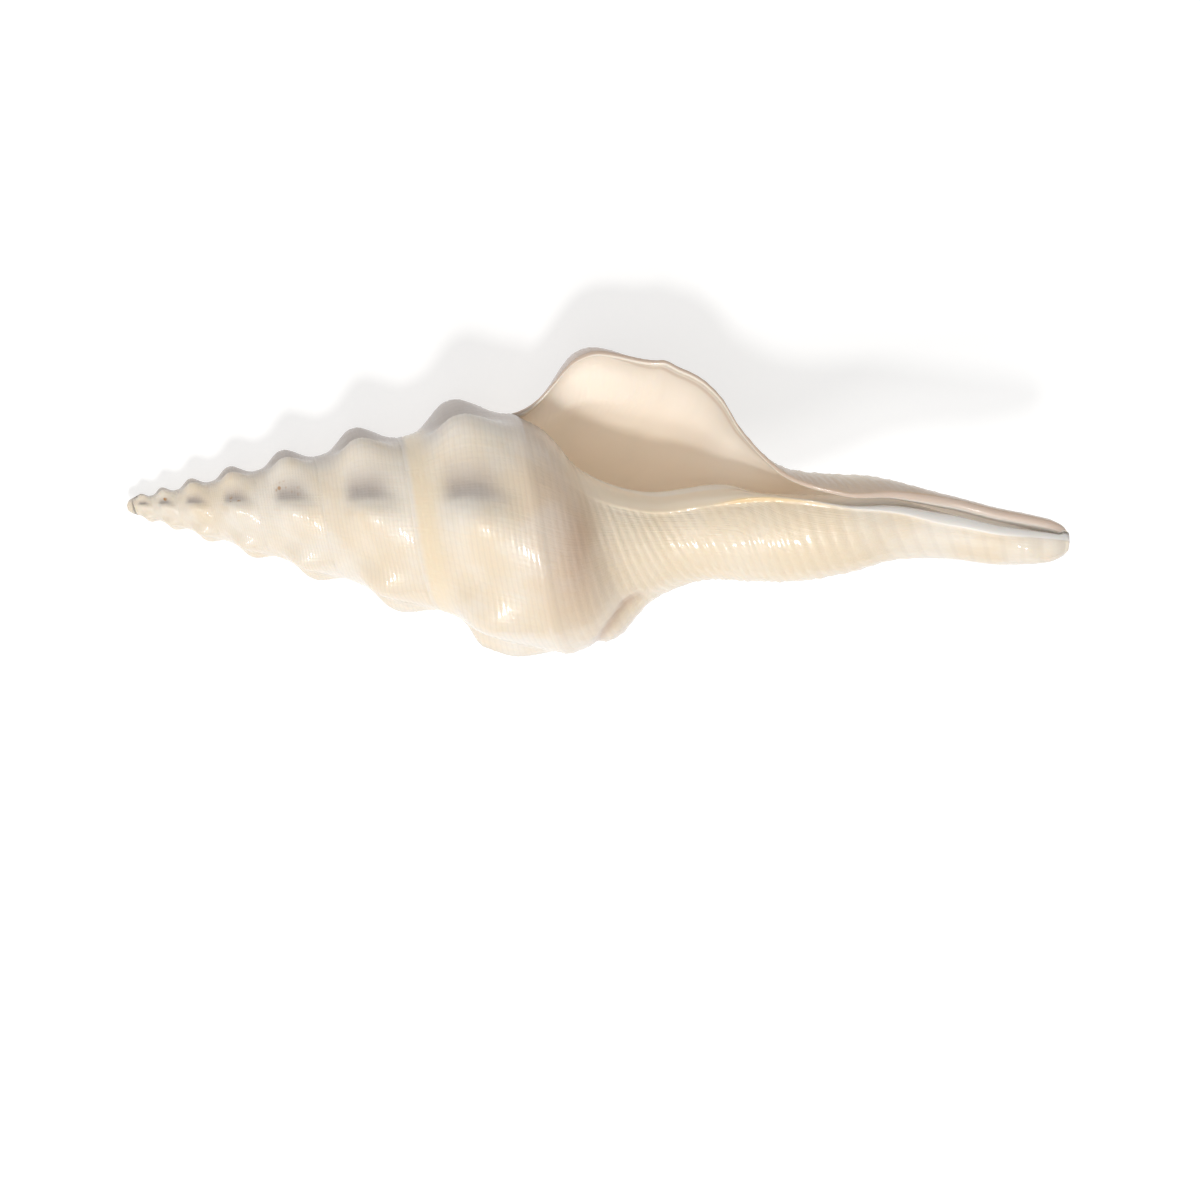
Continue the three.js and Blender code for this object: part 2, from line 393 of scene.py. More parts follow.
def shell_net(p):
    """The closed skin of the whole shell, as places on the coil."""
    g = Growth(p)
    net = Net()
    whorl_rows = p.cords * CORD_ROWS
    base_rows = BASE_CORDS * CORD_ROWS
    total = p.turns * COLUMNS
    body_start = total - COLUMNS
    v0, v1 = p.suture, p.suture * p.growth

    def add_skin(n, a, cord):
        u = g.across(n, a)
        away = g.away(n, a)
        on_body = (n >= -1.0001) & (u > 0.97)
        callus = (1 - smooth(0.985, 1.04, away)) * smooth(0.97, 1.06, u) * smooth(61, 71, a)
        callus = np.where(on_body, callus, 0.0)
        raised = 0.28 + 0.45 * smooth(83, 89, a) * (1 - smooth(97, 103, a))
        canal_fade = 1 - smooth(119, 131, a)
        radius = g.body(n, a) + callus * raised * smooth(0.15, 0.9, away) * canal_fade
        cord_room = (1 - callus) * (1 - 0.75 * smooth(100, 122, a))
        cord_room = cord_room * smooth(-6.9, -5.2, n) * np.sqrt(g.scale(n))
        cord_room = cord_room * (0.6 + 1.15 * smooth(1.1, 1.5, u)) * (1 - 0.5 * smooth(-0.02, 0, n))
        lobe = fold_lobe(n, a)
        fold = 1 - smooth(0.2, 1.0, lobe)
        crease = np.exp(-((lobe - 1.0) / 0.2) ** 2) * fold_side(n, a)
        bump = 0.5 * np.exp(-((a - 129.2) / 1.1) ** 2 - ((n + 0.74) * 360 / 22) ** 2)
        radius = radius + (0.95 * fold - 0.5 * crease) * on_body + bump * on_body
        ledge = smooth(0.93, 0.985, away) * (1 - smooth(1.02, 1.05, away))
        ledge = np.where(on_body, ledge * smooth(70, 76, a) * (1 - smooth(112, 122, a)), 0.0)
        room = g.rib_room(n, a) * (1 - callus)
        return net.add(
            turn=n, along=a, radius=radius, rib_room=room, cord=cord, cord_room=cord_room, glaze=callus,
            ledge=ledge
        )

    # outer skin of the spire: one ribbon, each turn's lower edge being the next turn's upper edge
    rows = np.arange(whorl_rows)
    whorl = []
    for j in range(total + 1):
        n = -p.turns + j / COLUMNS
        v = v0 + (v1 - v0) * rows / whorl_rows
        whorl.append(add_skin(np.full(len(rows), n), v * g.scale(n) - p.offset, rows / CORD_ROWS))

    # base and canal of the body whorl
    def base_places(j):
        t = np.arange(base_rows + 1) / base_rows
        n = np.full(len(t), -1 + j / COLUMNS)
        for _ in range(3):
            v_end = g.v(n, LENGTH)
            v = v1 + 60 * t + (v_end - v1 - 60) * t ** 3
            a = v * g.scale(n) - p.offset
            span = (crest_angle(a) - lip_angle(a)) / 360
            pull = smooth(0.0, 0.06, t)
            n = -1 + (j / COLUMNS) * (1 - pull) + gathered(span, j) * pull
        a = np.minimum(g.v(n, a) * g.scale(n) - p.offset, LENGTH)
        a[-1] = LENGTH
        return n, a, p.cords + t * BASE_CORDS

    base = []
    for j in range(COLUMNS + 1):
        n, a, cord = base_places(j)
        if j == 0:
            ids = np.concatenate(([whorl[total][0]], add_skin(n[1:], a[1:], cord[1:])))
            floor_a = a
        elif j == COLUMNS:
            ids = np.concatenate((add_skin(n[:-1], a[:-1], cord[:-1]), [base[0][-1]]))
        else:
            ids = add_skin(n, a, cord)
        base.append(ids)

    def column(j):
        if j < body_start:
            return np.concatenate((whorl[j], [whorl[j + COLUMNS][0]]))
        return np.concatenate((whorl[j], base[j - body_start]))

    for j in range(total):
        left, right = column(j), column(j + 1)
        if j < body_start:
            net.strip(left, right[: whorl_rows + 1])
        else:
            net.strip(left, right)

    # worn apex and canal tip
    first = column(0)
    edge = [whorl[j][0] for j in range(COLUMNS)] + list(first[::-1])
    ring = np.array(edge[:-1])
    table = net.table()
    ring_a, ring_n = table[ring, 1], table[ring, 0]
    caps = [ring]
    for k, share in ((1, 0.86), (2, 0.55)):
        caps.append(
            net.add(
                turn=ring_n, along=ring_a * (1 - 0.45 * k) - 0.05 * k,
                radius=g.skin(ring_n, ring_a) * share, rib_room=0 * ring_a
            )
        )
    apex = net.add(turn=np.array([-float(p.turns)]), along=np.array([-0.18]), radius=np.array([0.0]))[0]
    for outer, inner in zip(caps, caps[1:]):
        for i in range(len(ring)):
            k = (i + 1) % len(ring)
            net.face(outer[k], outer[i], inner[i], inner[k])
    for i in range(len(ring)):
        net.face(caps[-1][(i + 1) % len(ring)], caps[-1][i], apex)
    tip = net.add(turn=np.array([-0.5]), along=np.array([LENGTH + 0.25]), radius=np.array([0.0]))[0]
    for j in range(COLUMNS):
        net.face(base[j][-1], base[j + 1][-1], tip)

    # open chamber: a roof that follows the outer wall and a floor on the whorl before
    chamber_end = curve(
        (-p.chamber, 68), (-0.4, 78), (-0.3, 84), (-0.24, 94), (-0.19, 108), (-0.12, 124), (-0.05, 132),
        (0, LENGTH)
    )
    lip = column(total)
    table = net.table()
    lip_share = (table[lip, 1] - table[lip[0], 1]) / (LENGTH - table[lip[0], 1])
    floor_share = (floor_a - floor_a[0]) / (LENGTH - floor_a[0])
    lip_cord = table[lip, 4]

    def roof_radius(n, a):
        floor = g.body(n - 1, a)
        canal = smooth(100, 116, a)
        wall = p.wall * ((0.6 + 0.4 * smooth(0, 0.08, -n)) * (1 - canal) + 1.4 * canal)
        height = g.skin(n, a) - wall - floor
        return floor, floor + 0.5 * (height + np.sqrt(height * height + 0.1))

    roofs, floors = [], []
    for k in range(CHAMBER_COLUMNS + 1):
        turn = -p.chamber * (k / CHAMBER_COLUMNS) ** 1.35
        a0 = (v1 + 2.4 * smooth(0, 0.06, -turn)) * g.scale(turn - 1) - p.offset
        a1 = float(chamber_end(turn))
        a = a0 + (a1 - a0) * lip_share[1:-1]
        n = np.full(len(a), turn)
        share = lip_share[1:-1]
        tip_share = 0.015 if k == 0 else 0.12
        closing = np.minimum(1, np.minimum(share / 0.04, (1 - share) / tip_share))
        floor, roof = roof_radius(n, a)
        lirae = smooth(-0.12, -0.05, n) * (1 - smooth(-0.045, -0.02, n)) * (1 - smooth(86, 92, a))
        room = g.rib_room(n, a) * (0.25 + 0.75 * smooth(-0.12, 0, n)) * np.sqrt(closing)
        radius = floor + (roof - floor) * np.sqrt(closing)
        mid = net.add(
            turn=n, along=a, radius=radius, rib_room=room, cord=lip_cord[1:-1], cord_room=-0.8 * lirae,
            inside=np.full(len(a), 1.0)
        )
        if k == 0:
            start, end = lip[0], lip[-1]
            floors.append(base[0])
        else:
            a_f = a0 + (a1 - a0) * floor_share
            n_f = np.full(len(a_f), turn)
            f = net.add(
                turn=n_f, along=a_f, radius=g.body(n_f - 1, a_f), inside=np.full(len(a_f), 1.0),
                glaze=smooth(-0.3, -0.02, n_f)
            )
            start, end = f[0], f[-1]
            floors.append(f)
        roofs.append(np.concatenate(([start], mid, [end])))

    # rounded edge of the lip
    inner = roofs[0]
    table = net.table()
    r_out = table[lip, 2]
    r_in = table[inner, 2]
    rims = [lip]
    for s in (0.12, 0.5, 0.88):
        push = 0.5 * np.abs(r_out - r_in) * math.sin(math.pi * s) / (TAU * np.maximum(r_out, 1.0))
        pick = slice(1, len(lip) - 1)
        bend = 0.5 - 0.5 * math.cos(math.pi * s)
        mids = net.add(
            turn=table[lip, 0][pick] + push[pick],
            along=table[lip, 1][pick] * (1 - bend) + table[inner, 1][pick] * bend,
            radius=(r_out * (1 - bend) + r_in * bend)[pick],
            rib_room=(table[lip, 3] * (1 - bend) + table[inner, 3] * bend)[pick],
            inside=np.full(len(lip) - 2, 0.75 + 0.2 * bend),
        )
        rims.append(np.concatenate(([lip[0]], mids, [lip[-1]])))
    rims.append(inner)
    for left, right in zip(rims, rims[1:]):
        net.strip(left, right)
    for k in range(CHAMBER_COLUMNS):
        net.strip(roofs[k], roofs[k + 1])
        net.strip(floors[k + 1], floors[k])

    # the chamber's blind end
    table = net.table()
    roof, floor = roofs[-1], floors[-1]
    i = k = 0
    while i < len(roof) - 1 or k < len(floor) - 1:
        next_roof = table[roof[i + 1], 1] if i < len(roof) - 1 else math.inf
        next_floor = table[floor[k + 1], 1] if k < len(floor) - 1 else math.inf
        if next_roof <= next_floor:
            net.face(roof[i], roof[i + 1], floor[k])
            i += 1
        else:
            net.face(roof[i], floor[k + 1], floor[k])
            k += 1
    return net


# ---------------------------------------------------------------- Geometry Nodes: winding the coil

REST = Euler((math.radians(-16.15), math.radians(-17.08), 0.0), "XYZ")


class Tree:
    """Short calls for building a node tree."""

    def __init__(self, tree):
        self.t = tree

    def node(self, kind, **props):
        n = self.t.nodes.new(kind)
        for k, v in props.items():
            setattr(n, k, v)
        return n

    def link(self, a, b):
        self.t.links.new(a, b)

    def feed(self, socket, value):
        if isinstance(value, bpy.types.NodeSocket):
            self.link(value, socket)
        elif value is not None:
            socket.default_value = value

    def math(self, op, a, b=None, c=None, clamp=False):
        n = self.node("ShaderNodeMath", operation=op, use_clamp=clamp)
        for s, value in zip(n.inputs, (a, b, c)):
            self.feed(s, value)
        return n.outputs[0]

    def step(self, x, lo, hi, a=0.0, b=1.0):
        n = self.node("ShaderNodeMapRange", interpolation_type="SMOOTHSTEP")
        for s, value in zip(n.inputs[:5], (x, lo, hi, a, b)):
            self.feed(s, value)
        return n.outputs[0]


def coil_tree(material):
    """Winds places on the coil into space, raises ribs and spiral cords, and lays the shell to rest."""
    tree = bpy.data.node_groups.new("Wind shell", "GeometryNodeTree")
    face = tree.interface
    face.new_socket("Geometry", in_out="INPUT", socket_type="NodeSocketGeometry")
    for name, kind, value in (
        ("Ribs", "NodeSocketFloat", 8.0),
        ("Rib Phase", "NodeSocketFloat", 0.6),
        ("Rib Sharpness", "NodeSocketFloat", 1.2),
        ("Rib Slant", "NodeSocketFloat", 0.45),
        ("Rib Crowding", "NodeSocketFloat", 0.19),
        ("Rib Lean", "NodeSocketFloat", 0.5),
        ("Scoop", "NodeSocketFloat", 0.3),
        ("Cord Height", "NodeSocketFloat", 0.045),
        ("Pebbling", "NodeSocketFloat", 0.05),
        ("Unevenness", "NodeSocketFloat", 0.25),
        ("Seed", "NodeSocketFloat", 0.0),
        ("Millimetre", "NodeSocketFloat", MM),
    ):
        face.new_socket(name, in_out="INPUT", socket_type=kind).default_value = value
    face.new_socket("Attitude", in_out="INPUT", socket_type="NodeSocketVector")
    face.new_socket("Resting Place", in_out="INPUT", socket_type="NodeSocketVector")
    face.new_socket("Finish", in_out="INPUT", socket_type="NodeSocketMaterial")
    face.new_socket("Geometry", in_out="OUTPUT", socket_type="NodeSocketGeometry")
    t = Tree(tree)
    src = t.node("NodeGroupInput").outputs
    out = t.node("NodeGroupOutput")

    def field(name):
        n = t.node("GeometryNodeInputNamedAttribute", data_type="FLOAT")
        n.inputs["Name"].default_value = name
        return n.outputs["Attribute"]

    turn, along, radius = field("turn"), field("along"), field("radius")
    angle = t.math("MULTIPLY", turn, TAU)
    # ribs: a raised cosine round each whorl, crowded, slanted and a little uneven from rib to rib
    crowd = t.math("MULTIPLY", t.math("SINE", t.math("SUBTRACT", angle, 1.6)), src["Rib Crowding"])
    even = t.math("SUBTRACT", t.math("SUBTRACT", angle, src["Rib Phase"]), crowd)
    turned = t.math("MULTIPLY", even, src["Ribs"])
    slant = t.math("MULTIPLY", t.math("COSINE", turned), src["Rib Slant"])
    wave = t.math("COSINE", t.math("ADD", turned, slant))
    rib = t.math("POWER", t.math("MULTIPLY_ADD", wave, 0.5, 0.5, clamp=True), src["Rib Sharpness"])
    noise = t.node("ShaderNodeTexNoise", noise_dimensions="1D")
    t.feed(noise.inputs["W"], t.math("ADD", t.math("MULTIPLY", turn, 5.0), src["Seed"]))
    noise.inputs["Scale"].default_value = 1.0
    noise.inputs["Detail"].default_value = 1.0
    uneven = t.math("MULTIPLY_ADD", t.math("SUBTRACT", noise.outputs[0], 0.5), src["Unevenness"], 1.0)
    under = t.math("POWER", t.math("MULTIPLY_ADD", t.math("COSINE", angle), -0.5, 0.5), 2.0)
    lean = t.math("SUBTRACT", 1.0, t.math("MULTIPLY", under, src["Rib Lean"]))
    rise = t.math(
        "MULTIPLY", t.math("MULTIPLY", t.math("MULTIPLY", rib, uneven), lean), field("rib_room")
    )
    # cords: threads that follow the coil
    thread = t.math("COSINE", t.math("MULTIPLY", field("cord"), TAU))
    spot = t.node("ShaderNodeCombineXYZ")
    t.feed(spot.inputs[0], t.math("MULTIPLY", turn, 34.0))
    t.feed(spot.inputs[1], t.math("MULTIPLY", field("cord"), 0.8))
    t.feed(spot.inputs[2], src["Seed"])
    broken = t.node("ShaderNodeTexNoise")
    t.feed(broken.inputs["Vector"], spot.outputs[0])
    broken.inputs["Scale"].default_value = 1.0
    broken.inputs["Detail"].default_value = 2.0
    patchy = t.math("MULTIPLY_ADD", broken.outputs[0], 3.2, -0.9, clamp=True)
    thread = t.math("MULTIPLY", t.math("MULTIPLY", thread, src["Cord Height"]), patchy)
    pebbling = t.math("MULTIPLY", src["Pebbling"], 4.0)
    pebble = t.math("MULTIPLY", t.math("SUBTRACT", broken.outputs[0], 0.5), pebbling)
    thread = t.math("MULTIPLY", t.math("ADD", thread, pebble), field("cord_room"))
    # the hollows on the aperture's side are scooped deeper
    near = t.math("MULTIPLY_ADD", t.math("COSINE", t.math("SUBTRACT", angle, 2.0)), 0.5, 0.5)
    scoop = t.math("MULTIPLY", t.math("SUBTRACT", 1.0, rib), t.math("MULTIPLY", near, src["Scoop"]))
    rise = t.math("SUBTRACT", rise, t.math("MULTIPLY", scoop, field("rib_room")))
    r = t.math("ADD", t.math("ADD", radius, rise), thread)
    lead = t.math("ADD", angle, field("lead"))
    place = t.node("ShaderNodeCombineXYZ")
    t.feed(place.inputs[0], along)
    t.feed(place.inputs[1], t.math("ADD", t.math("MULTIPLY", r, t.math("COSINE", lead)), field("bend")))
    t.feed(place.inputs[2], t.math("MULTIPLY", r, t.math("SINE", lead)))
    scaled = t.node("ShaderNodeVectorMath", operation="SCALE")
    t.feed(scaled.inputs[0], place.outputs[0])
    t.feed(scaled.inputs["Scale"], src["Millimetre"])
    laid = t.node("ShaderNodeVectorRotate", rotation_type="EULER_XYZ")
    t.feed(laid.inputs["Vector"], scaled.outputs[0])
    t.feed(laid.inputs["Rotation"], src["Attitude"])
    moved = t.node("ShaderNodeVectorMath", operation="ADD")
    t.feed(moved.inputs[0], laid.outputs[0])
    t.feed(moved.inputs[1], src["Resting Place"])
    put = t.node("GeometryNodeSetPosition")
    t.feed(put.inputs["Geometry"], src["Geometry"])
    t.feed(put.inputs["Position"], moved.outputs[0])
    shade = t.node("GeometryNodeSetShadeSmooth")
    t.feed(shade.inputs["Geometry"], put.outputs[0])
    real = t.node("GeometryNodeRealizeInstances")
    t.feed(real.inputs[0], shade.outputs[0])
    paint = t.node("GeometryNodeSetMaterial")
    t.feed(paint.inputs["Geometry"], real.outputs[0])
    t.feed(paint.inputs["Material"], src["Finish"])
    t.feed(out.inputs[0], paint.outputs[0])
    return tree


def set_inputs(modifier, values):
    """Sets the tree's inputs by their sockets' identifiers."""
    for item in modifier.node_group.interface.items_tree:
        if item.in_out == "INPUT" and item.name in values:
            modifier[item.identifier] = values[item.name]


# ---------------------------------------------------------------- finishes

def mottle_group():
    """Soft drifting patches and fine growth lines, used by every zone of the shell."""
    tree = bpy.data.node_groups.new("Grown surface", "ShaderNodeTree")
    face = tree.interface
    for name, value in (
        ("Patch Size", 120.0), ("Line Density", 240.0), ("Line Strength", 1.1), ("Ripple Size", 900.0)
    ):
        face.new_socket(name, in_out="INPUT", socket_type="NodeSocketFloat").default_value = value
    for name in ("Patches", "Lines", "Height"):
        face.new_socket(name, in_out="OUTPUT", socket_type="NodeSocketFloat")
    t = Tree(tree)
    src = t.node("NodeGroupInput").outputs
    out = t.node("NodeGroupOutput")
    where = t.node("ShaderNodeTexCoord").outputs["Object"]
    patches = t.node("ShaderNodeTexNoise")
    t.feed(patches.inputs["Vector"], where)
    t.feed(patches.inputs["Scale"], src["Patch Size"])
    patches.inputs["Detail"].default_value = 3.0
    turn = t.node("ShaderNodeAttribute", attribute_name="turn").outputs["Fac"]
    along = t.node("ShaderNodeAttribute", attribute_name="along").outputs["Fac"]
    place = t.node("ShaderNodeCombineXYZ")
    t.feed(place.inputs[0], t.math("MULTIPLY", turn, src["Line Density"]))
    t.feed(place.inputs[1], t.math("MULTIPLY", along, 0.12))
    lines = t.node("ShaderNodeTexNoise")
    t.feed(lines.inputs["Vector"], place.outputs[0])
    lines.inputs["Scale"].default_value = 1.0
    lines.inputs["Detail"].default_value = 2.0
    grain = t.node("ShaderNodeTexNoise")
    t.feed(grain.inputs["Vector"], where)
    grain.inputs["Scale"].default_value = 2600.0
    grain.inputs["Detail"].default_value = 1.0
    t.feed(out.inputs["Patches"], patches.outputs[0])
    t.feed(out.inputs["Lines"], lines.outputs[0])
    mixed = t.math("MULTIPLY", lines.outputs[0], src["Line Strength"])
    ripple = t.node("ShaderNodeTexNoise")
    t.feed(ripple.inputs["Vector"], where)
    t.feed(ripple.inputs["Scale"], src["Ripple Size"])
    ripple.inputs["Detail"].default_value = 2.0
    fine = t.math("MULTIPLY_ADD", grain.outputs[0], 0.15, ripple.outputs[0])
    t.feed(out.inputs["Height"], t.math("ADD", mixed, fine))
    return tree


def shell_material(f):
    """Cream porcelain-like skin, with the zones of the coil told apart by their place on it; painted shade
    greys the rib hollows, the whorls' upper side, the thread troughs, the waist and the fold's crease, and
    a painted glow lights the chamber.
    """
    m = bpy.data.materials.new("cream_shell")
    m.use_nodes = True
    t = Tree(m.node_tree)
    bsdf = m.node_tree.nodes["Principled BSDF"]

    def field(name):
        return t.node("ShaderNodeAttribute", attribute_name=name).outputs["Fac"]

    def rgb(c):
        return (c[0], c[1], c[2], 1.0)

    def mix(factor, a, b):
        n = t.node("ShaderNodeMix", data_type="RGBA")
        t.feed(n.inputs["Factor"], factor)
        t.feed(n.inputs[6], a)
        t.feed(n.inputs[7], b)
        return n.outputs[2]

    turn, along, inside, glaze = field("turn"), field("along"), field("inside"), field("glaze")
    across, hollow, cord, depth = field("across"), field("hollow"), field("cord"), field("depth")
    grown = t.node("ShaderNodeGroup")
    grown.node_tree = mottle_group()
    patches, lines = grown.outputs["Patches"], grown.outputs["Lines"]

    # outer skin
    skin = mix(t.step(patches, 0.35, 0.68), rgb(f.cream), rgb(f.ivory))
    skin = mix(t.math("MULTIPLY", t.step(lines, 0.4, 0.75), 0.22), skin, rgb(f.butter))
    # painted shade: the hollows between the ribs, in a band round each whorl, darkened towards grey
    between = t.math(
        "FRACT", t.math("MULTIPLY_ADD", patches, 0.14, t.math("ADD", field("rib_turn"), 7.93))
    )
    painted_hollow_shade = t.math("MULTIPLY", t.step(between, 0.15, 0.66), t.step(between, 0.82, 0.68))
    painted_hollow_shade = t.math("MULTIPLY", painted_hollow_shade, hollow)
    skin = mix(t.math("MULTIPLY", painted_hollow_shade, 0.8), skin, rgb(f.painted_shade_grey))
    # painted shade: the whorls' upper side, turned away from the key light, darkened towards grey
    skin = mix(t.math("MULTIPLY", field("painted_top_shade"), 0.9), skin, rgb(f.painted_shade_grey))
    # painted shade: a little grey in the troughs between the threads
    thread = t.math("COSINE", t.math("MULTIPLY", cord, TAU))
    skin = mix(t.math("MULTIPLY", t.step(thread, -0.2, -0.95), 0.08), skin, rgb(f.painted_shade_grey))
    late = t.step(turn, -1.15, -0.9)
    band = t.math("MULTIPLY", t.step(across, 0.02, 0.07), t.step(across, 0.3, 0.12))
    skin = mix(t.math("MULTIPLY", t.math("MULTIPLY", band, late), 0.85), skin, rgb(f.butter))
    neck = t.math("MULTIPLY", t.step(across, 1.15, 1.6), t.step(along, 112.0, 96.0))
    skin = mix(t.math("MULTIPLY", neck, 0.45), skin, rgb(f.butter))
    # russet in the waist: a faint tint all round, stronger near the callus start as painted shade of the
    # hollow there
    waist = t.math("MULTIPLY", t.step(across, 0.72, 1.3), t.step(across, 1.75, 1.3))
    skin = mix(t.math("MULTIPLY", t.math("MULTIPLY", waist, late), field("waist_tint_and_shade")), skin, rgb(f.russet_and_shade))
    # russet over the fold: its own tint on the lobe, painted shade along its crease and in a patch near
    # the callus start
    skin = mix(t.math("MULTIPLY", field("fold"), 0.7), skin, rgb(f.russet_and_shade))
    back = t.step(turn, -0.14, -0.02)
    skin = mix(t.math("MULTIPLY", back, 0.55), skin, rgb(f.russet_and_shade))
    line = t.math("MULTIPLY", t.step(across, 0.04, 0.0), t.step(turn, -4.0, -1.2))
    skin = mix(t.math("MULTIPLY", line, 0.3), skin, rgb(f.porcelain))
    speck = t.node("ShaderNodeTexVoronoi")
    t.feed(speck.inputs["Vector"], t.node("ShaderNodeTexCoord").outputs["Object"])
    speck.inputs["Scale"].default_value = 900.0
    specks = t.math(
        "MULTIPLY", t.step(speck.outputs["Distance"], 0.34, 0.2), t.step(patches, 0.47, 0.53)
    )
    early = t.math("MULTIPLY", t.step(turn, -2.2, -3.2), t.step(painted_hollow_shade, 0.25, 0.5))
    waistward = t.math("MULTIPLY", t.step(across, 0.2, 0.35), t.step(across, 0.75, 0.5))
    specks = t.math("MULTIPLY", t.math("MULTIPLY", specks, early), waistward)
    skin = mix(specks, skin, rgb(f.amber))
    # inside and columella
    lining = mix(t.step(depth, 0.06, 0.2), rgb(f.porcelain), rgb(f.fawn))
    lining = mix(t.step(along, 94.0, 108.0), lining, rgb(f.pearl))
    seam = t.math("MULTIPLY", t.step(depth, 0.008, 0.011), t.step(depth, 0.018, 0.013))
    lining = mix(t.math("MULTIPLY", seam, 0.3), lining, rgb(f.russet_and_shade))
    lining = mix(t.math("MULTIPLY", lines, 0.1), lining, rgb(f.cream))
    colour = mix(t.step(inside, 0.4, 0.9), skin, lining)
    rim = t.math("MULTIPLY", t.step(inside, 0.3, 0.6), t.step(inside, 0.9, 0.82))
    colour = mix(t.math("MULTIPLY", rim, 0.6), colour, rgb(f.russet_and_shade))
    glazed = mix(t.step(along, 90.0, 106.0), rgb(f.biscuit), rgb(f.pearl))
    glazed = mix(t.step(field("away"), 0.52, 0.34), glazed, rgb(f.porcelain))
    colour = mix(glaze, colour, glazed)
    crisp = t.math("MULTIPLY", t.step(along, 83.0, 88.0), t.step(along, 106.0, 96.0))
    edge = t.math("MULTIPLY", field("ledge"), t.math("MULTIPLY_ADD", crisp, 0.75, 0.1))
    colour = mix(edge, colour, rgb(f.honey))
    t.feed(bsdf.inputs["Base Color"], colour)
    # painted glow: the lining just inside the lip emits a warm light, standing in for light through the
    # thin wall
    painted_glow_mask = t.math("MULTIPLY", t.step(inside, 0.5, 1.0), t.step(depth, 0.0, 0.08))
    t.feed(bsdf.inputs["Emission Color"], mix(painted_glow_mask, (0.0, 0.0, 0.0, 1.0), rgb(f.glow)))
    bsdf.inputs["Emission Strength"].default_value = 0.1
    rough = t.math("MULTIPLY_ADD", patches, 0.16, 0.3)
    t.feed(bsdf.inputs["Roughness"], t.math("ADD", rough, t.math("MULTIPLY", hollow, 0.1)))
    bsdf.inputs["IOR"].default_value = 1.55
    bsdf.inputs["Coat Weight"].default_value = 0.6
    bsdf.inputs["Coat Roughness"].default_value = 0.09
    bsdf.inputs["Subsurface Weight"].default_value = 0.15
    bsdf.inputs["Subsurface Radius"].default_value = (1.0, 0.7, 0.45)
    bsdf.inputs["Subsurface Scale"].default_value = 0.0008
    bump = t.node("ShaderNodeBump")
    bump.inputs["Strength"].default_value = 0.5
    bump.inputs["Distance"].default_value = 0.00013
    bare = t.math(
        "SUBTRACT", 1.0, t.math("MULTIPLY", t.math("MAXIMUM", inside, glaze, clamp=True), 0.85)
    )
    t.feed(bump.inputs["Height"], t.math("MULTIPLY", grown.outputs["Height"], bare))
    t.feed(bsdf.inputs["Normal"], bump.outputs[0])
    return m


def table_material(colour):
    """White light-table top that glows a little, so shadows on it stay pale."""
    m = bpy.data.materials.new("pale_table")
    m.use_nodes = True
    b = m.node_tree.nodes["Principled BSDF"]
    b.inputs["Base Color"].default_value = (*colour, 1.0)
    b.inputs["Roughness"].default_value = 0.7
    b.inputs["Emission Color"].default_value = (1.0, 1.0, 1.0, 1.0)
    b.inputs["Emission Strength"].default_value = 0.64
    return m


# ---------------------------------------------------------------- operators

def mesh_of(net, p):
    """A mesh whose points carry their place on the coil, for the tree to wind up."""
    g = Growth(p)
    table = net.table()
    mesh = bpy.data.meshes.new("shell_skin")
    mesh.from_pydata([(row[1] * MM, row[0] * MM, 0.0) for row in table], [], net.faces)
    n, a = table[:, 0], table[:, 1]
    outside = table[:, 6] < 0.4
    fields = {name: table[:, k] for k, name in enumerate(Net.FIELDS)}
    fields["bend"] = axis_bend(a)
    fields["lead"] = np.radians(lip_angle(a))
    fields["across"] = np.where(outside, g.across(n, a), 0.5)
    room = g.rib_room(n, a) / (g.scale(n) * p.knob_rise)
    # painted shade in the rib hollows, kept to a band of turn around 66 degrees
    seen = np.exp(-(((n + 8) % 1 * 360 - 66) / 30) ** 2)
    fields["hollow"] = np.where(outside, smooth(0.1, 1.0, room) * seen, 0.0)
    fields["depth"] = np.where(table[:, 6] > 0.4, -n, 0.0)
    # painted shade: the whorls' upper side, turned away from the key light
    up = smooth(0.55, 1.0, np.cos(TAU * n + fields["lead"] + 0.1))
    fields["painted_top_shade"] = np.where(
        outside, up * (1 - smooth(60, 84, a)) * (0.6 + 0.4 * smooth(0, 20, a)), 0.0
    )
    # waist russet: a faint tint, plus painted shade in a band around 84 degrees of turn
    fields["waist_tint_and_shade"] = 0.1 + 0.36 * smooth(0.3, 0.95, np.cos(TAU * n - math.radians(84)))
    # fold colour: russet tint over the lobe (middle), painted shade along the crease (rim) and a painted
    # shade patch near the callus start
    lobe = fold_lobe(n, a)
    angle = (n + 1) * 360 + lip_angle(a)
    rim = np.exp(-((lobe - 1.0) / 0.22) ** 2) * fold_side(n, a)
    painted_shade_blot = 0.62 * np.exp(-((a - 65.3) / 1.9) ** 2 - ((angle - 97) / 24) ** 2)
    middle = 0.12 * (1 - smooth(0.3, 1.0, lobe))
    fold = np.maximum(np.maximum(rim, middle), painted_shade_blot)
    fields["fold"] = np.where(outside & (n > -1), fold, 0.0)
    fields["away"] = np.where(n > -1.0001, g.away(n, a), 2.0)
    fields["rib_turn"] = p.ribs * (n - (p.rib_phase + p.rib_crowd * np.sin(TAU * n - 1.6)) / TAU)
    for name, values in fields.items():
        mesh.attributes.new(name, "FLOAT", "POINT").data.foreach_set(
            "value", np.asarray(values, np.float32)
        )
    return mesh, fields


